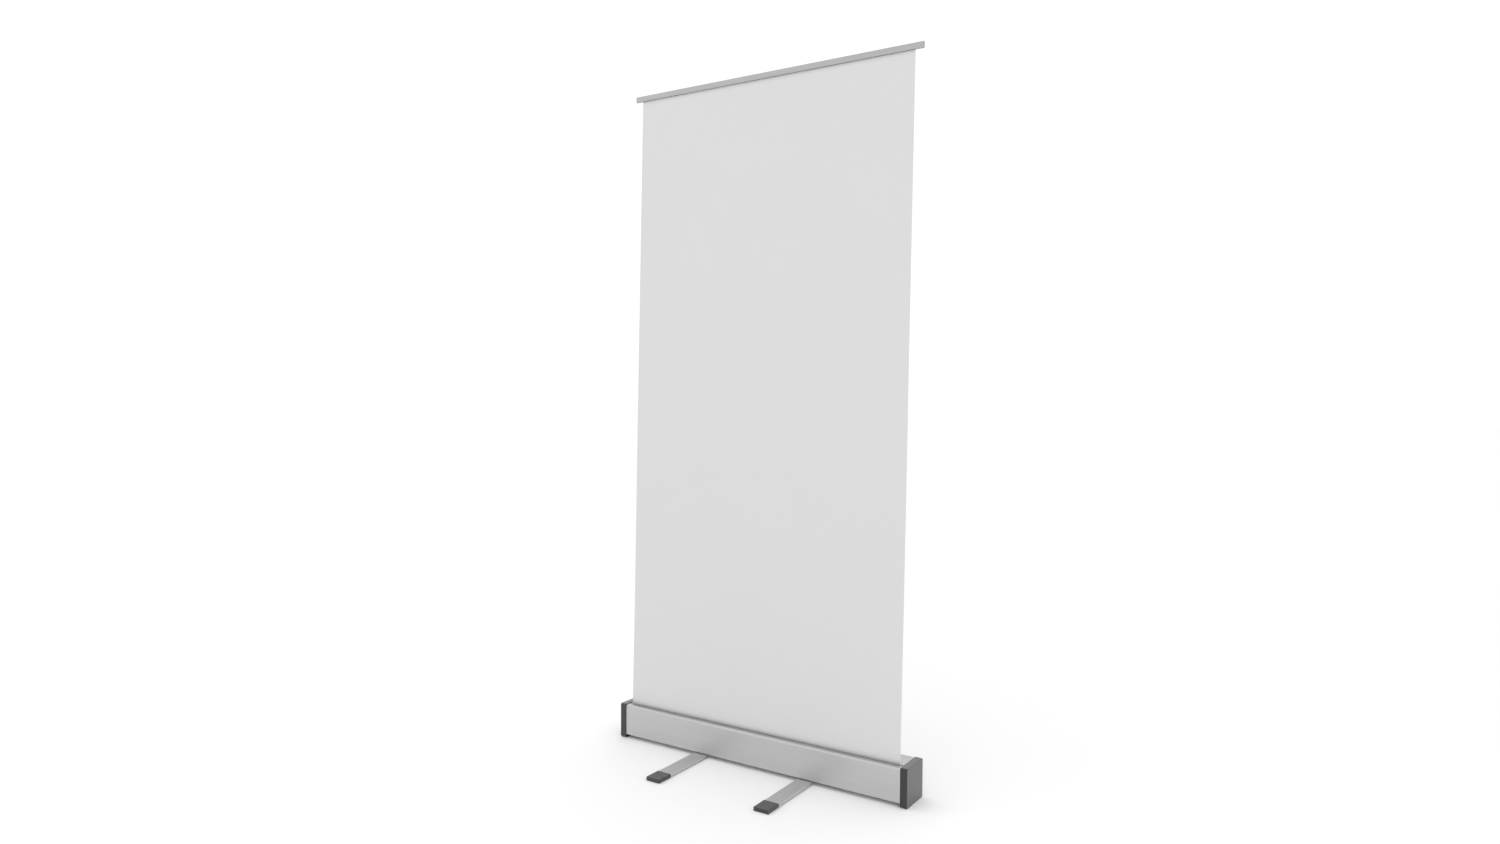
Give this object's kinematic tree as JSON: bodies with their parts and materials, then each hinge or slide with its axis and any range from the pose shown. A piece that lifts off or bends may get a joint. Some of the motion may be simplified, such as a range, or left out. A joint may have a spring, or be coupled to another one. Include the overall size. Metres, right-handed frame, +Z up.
{
  "type": "roll-up banner stand",
  "caption": "Retractable banner stand: a spring-roller cassette with swing-out feet, a sectional pole and a rail that holds a blank banner up.",
  "frame": {"origin": "on the floor, at the middle of the box round the whole stand with its feet swung out", "axes": "+X along the cassette to the right seen from the front, -Y to the front where the long ends of the feet lie, +Z up"},
  "size_m": [0.906, 0.4072, 1.8631],
  "materials": {
    "banner_film": "smooth matt film, blank",
    "block_rubber": "matt moulding",
    "cord_elastic": "braided cover",
    "dark_plastic": "fine textured moulding",
    "foot_aluminium": "satin anodised, slightly duller",
    "grey_plastic": "fine textured extrusion",
    "leader_film": "smooth film",
    "pale_nylon": "natural nylon",
    "satin_aluminium": "satin anodised",
    "spring_steel": "oiled spring wire",
    "zinc_steel": "bright zinc plated"
  },
  "bodies": {
    "base": {"cassette_body": "satin_aluminium", "slot_guard": "grey_plastic", "pole_socket": "dark_plastic", "spring_shaft": "zinc_steel", "idler_pin": "zinc_steel", "spring_anchor": "pale_nylon", "torsion_spring": "spring_steel", "leader_run": "leader_film", "banner_sheet": "banner_film", "left_end_plate": "zinc_steel", "left_end_cover": "dark_plastic", "left_plate_screw_1": "zinc_steel", "left_plate_screw_2": "zinc_steel", "left_plate_screw_3": "zinc_steel", "left_plate_screw_4": "zinc_steel", "left_foot_bolt": "zinc_steel", "left_foot_washer": "pale_nylon", "left_foot_nut": "zinc_steel", "right_end_plate": "zinc_steel", "right_end_cover": "dark_plastic", "right_plate_screw_1": "zinc_steel", "right_plate_screw_2": "zinc_steel", "right_plate_screw_3": "zinc_steel", "right_plate_screw_4": "zinc_steel", "right_foot_bolt": "zinc_steel", "right_foot_washer": "pale_nylon", "right_foot_nut": "zinc_steel"},
    "roller": {"roller_tube": "satin_aluminium", "leader_wrap": "leader_film", "roller_spring_plug": "pale_nylon", "roller_idler_plug": "pale_nylon"},
    "rail": {"top_rail": "satin_aluminium", "banner_grip_rod": "pale_nylon", "left_rail_plug": "satin_aluminium", "right_rail_plug": "satin_aluminium"},
    "left_foot": {"left_foot_bar": "foot_aluminium", "left_foot_front_block": "block_rubber", "left_foot_rear_block": "block_rubber"},
    "right_foot": {"right_foot_bar": "foot_aluminium", "right_foot_front_block": "block_rubber", "right_foot_rear_block": "block_rubber"},
    "lower_pole": {"pole_lower": "satin_aluminium", "lower_ferrule": "zinc_steel", "pole_foot_plug": "dark_plastic"},
    "middle_pole": {"pole_middle": "satin_aluminium", "upper_ferrule": "zinc_steel"},
    "upper_pole": {"pole_upper": "satin_aluminium", "pole_top_hook": "dark_plastic", "shock_cord": "cord_elastic"}
  },
  "joints": [
    {"name": "rail_travel", "type": "slide", "parent": "base", "child": "rail", "axis": [0, -0.0263, -0.9997], "range_m": [0, 1.747], "deforming": ["banner_sheet"]},
    {"name": "roller_spin", "type": "hinge", "parent": "base", "child": "roller", "pos_m": [0, 0.04571, 0.0537], "axis": [1, 0, 0], "range_deg": [0, 4710]},
    {"name": "left_foot_swing", "type": "hinge", "parent": "base", "child": "left_foot", "pos_m": [-0.166, 0.0536, 0.0052], "axis": [0, 0, -1], "range_deg": [0, 90]},
    {"name": "right_foot_swing", "type": "hinge", "parent": "base", "child": "right_foot", "pos_m": [0.166, 0.0536, 0.0052], "axis": [0, 0, 1], "range_deg": [0, 90]},
    {"name": "pole_lift", "type": "slide", "parent": "base", "child": "lower_pole", "axis": [0, 0, 1], "range_m": [0, 0.075]},
    {"name": "middle_pole_pull", "type": "slide", "parent": "lower_pole", "child": "middle_pole", "axis": [0, 0, 1], "range_m": [0, 0.055]},
    {"name": "upper_pole_pull", "type": "slide", "parent": "middle_pole", "child": "upper_pole", "axis": [0, 0, 1], "range_m": [0, 0.055]}
  ],
  "couplings": [
    {"joint": "roller_spin", "follows": "rail_travel", "rad_per_m": 46.979}
  ]
}
